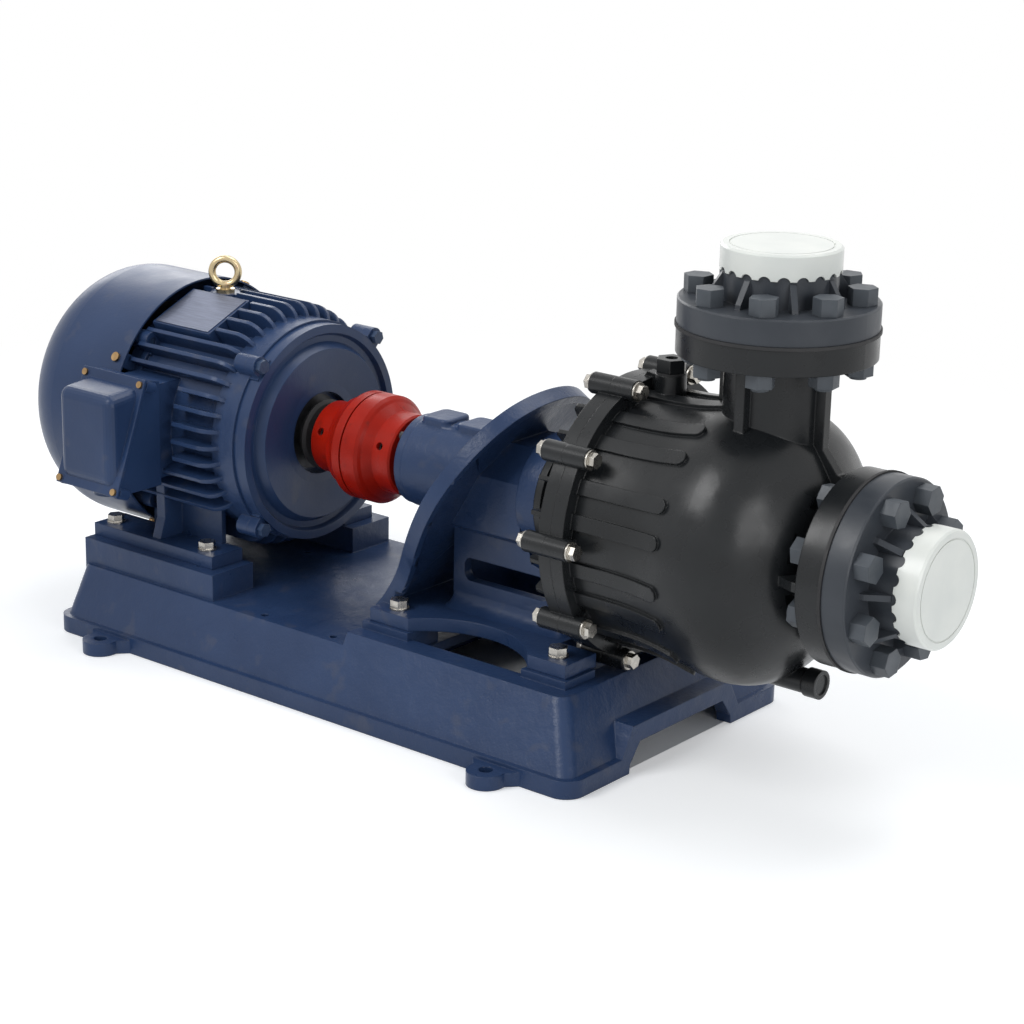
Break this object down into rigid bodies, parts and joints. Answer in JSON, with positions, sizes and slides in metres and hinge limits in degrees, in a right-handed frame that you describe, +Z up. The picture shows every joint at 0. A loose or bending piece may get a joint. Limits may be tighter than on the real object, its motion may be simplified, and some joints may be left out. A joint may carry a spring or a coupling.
{
  "type": "self-priming chemical pump",
  "caption": "Horizontal self-priming chemical pump with flanged pipe sockets, driven through a jaw coupling by a foot-mounted electric motor on a cast base.",
  "frame": {"origin": "on the floor, centre of the four anchor holes of the base", "axes": "+X along the shaft from the motor to the suction port, +Y to the far side, away from the terminal box, +Z up"},
  "size_m": [1.082, 0.4238, 0.513],
  "materials": {
    "blue_paint": "satin enamel on rough castings",
    "red_paint": "satin enamel",
    "black_plastic": "moulded, low sheen",
    "grey_plastic": "moulded, low sheen",
    "bolt_plastic": "moulded, low sheen",
    "white_plastic": "thin moulded cap",
    "bright_steel": "ground",
    "dark_steel": "blackened",
    "stainless": "bright stainless",
    "painted_bolts": "painted over with the motor",
    "brass_screws": "plated screw heads",
    "yellow_zinc": "zinc plated with yellow passivation",
    "plate_metal": "bare brushed plate",
    "lamination": "stacked sheet edges",
    "copper_windings": "varnished copper wire",
    "fan_plastic": "moulded",
    "black_rubber": "moulded rubber",
    "ceramic": null
  },
  "bodies": {
    "pump_unit": {"baseplate": "blue_paint", "motor_frame": "blue_paint", "motor_front_shield": "blue_paint", "motor_rear_shield": "blue_paint", "shield_bolts": "painted_bolts", "fan_cowl": "blue_paint", "cowl_screws": "brass_screws", "lifting_eye": "yellow_zinc", "nameplate": "plate_metal", "terminal_box": "blue_paint", "terminal_cover": "blue_paint", "terminal_cover_screws": "brass_screws", "terminal_block": "fan_plastic", "stator_core": "lamination", "stator_windings": "copper_windings", "motor_bearing_outers": "bright_steel", "motor_foot_bolts": "stainless", "bearing_bracket": "blue_paint", "bearing_end_cover": "blue_paint", "bearing_cover_bolts": "dark_steel", "bracket_foot_bolts": "stainless", "pump_bearing_outers": "bright_steel", "oil_seals": "black_rubber", "seal_seat": "ceramic", "rear_cover": "black_plastic", "rear_cover_bolts": "dark_steel", "volute": "black_plastic", "pump_casing": "black_plastic", "casing_seal": "black_rubber", "clamp_bolts": "stainless", "clamp_nuts": "stainless", "flap_pin": "bright_steel", "suction_socket_flange": "grey_plastic", "discharge_socket_flange": "grey_plastic", "flange_gaskets": "black_rubber", "flange_bolts": "bolt_plastic", "flange_nuts": "bolt_plastic"},
    "motor_rotor": {"motor_shaft": "bright_steel", "rotor_core": "lamination", "cooling_fan": "fan_plastic", "motor_bearing_inners": "bright_steel", "coupling_motor_half": "red_paint", "motor_set_screw": "dark_steel", "v_ring": "black_rubber"},
    "pump_rotor": {"pump_shaft": "bright_steel", "pump_bearing_inners": "bright_steel", "coupling_pump_half": "red_paint", "coupling_star": "black_rubber", "pump_set_screw": "dark_steel", "shaft_sleeve": "black_plastic", "seal_bellows_ring": "black_rubber", "impeller": "black_plastic", "impeller_nut": "black_plastic"},
    "suction_cap": {"suction_cap": "white_plastic"},
    "discharge_cap": {"discharge_cap": "white_plastic"},
    "filler_ring": {"filler_ring": "black_rubber"},
    "filler_plug": {"filler_plug": "black_plastic"},
    "drain_ring": {"drain_ring": "black_rubber"},
    "drain_plug": {"drain_plug": "black_plastic"},
    "suction_flap": {"suction_flap": "black_plastic"}
  },
  "joints": [
    {"name": "motor_shaft_spin", "type": "hinge", "parent": "pump_unit", "child": "motor_rotor", "pos_m": [-0.05, 0, 0.228], "axis": [1, 0, 0], "continuous": true},
    {"name": "pump_shaft_spin", "type": "hinge", "parent": "pump_unit", "child": "pump_rotor", "pos_m": [0.1, 0, 0.228], "axis": [1, 0, 0], "continuous": true},
    {"name": "suction_cap_pull", "type": "slide", "parent": "pump_unit", "child": "suction_cap", "axis": [1, 0, 0], "range_m": [0, 0.2]},
    {"name": "discharge_cap_pull", "type": "slide", "parent": "pump_unit", "child": "discharge_cap", "axis": [0, 0, 1], "range_m": [0, 0.2]},
    {"name": "filler_plug_lift", "type": "slide", "parent": "pump_unit", "child": "filler_ring", "axis": [0, 0, 1], "range_m": [0, 0.0221]},
    {"name": "filler_plug_turn", "type": "hinge", "parent": "filler_ring", "child": "filler_plug", "pos_m": [0.324, 0, 0.372], "axis": [0, 0, 1], "range_deg": [0, 1980]},
    {"name": "drain_plug_draw", "type": "slide", "parent": "pump_unit", "child": "drain_ring", "axis": [1, 0, 0], "range_m": [0, 0.0221]},
    {"name": "drain_plug_turn", "type": "hinge", "parent": "drain_ring", "child": "drain_plug", "pos_m": [0.492, 0, 0.106], "axis": [1, 0, 0], "range_deg": [0, 1980]},
    {"name": "suction_flap_swing", "type": "hinge", "parent": "pump_unit", "child": "suction_flap", "pos_m": [0.506, 0, 0.274], "axis": [0, 1, 0], "range_deg": [0, 40]}
  ],
  "couplings": [
    {"joint": "pump_shaft_spin", "follows": "motor_shaft_spin", "ratio": 1},
    {"joint": "filler_plug_lift", "follows": "filler_plug_turn", "m_per_rad": 0.00063662},
    {"joint": "drain_plug_draw", "follows": "drain_plug_turn", "m_per_rad": 0.00063662}
  ]
}
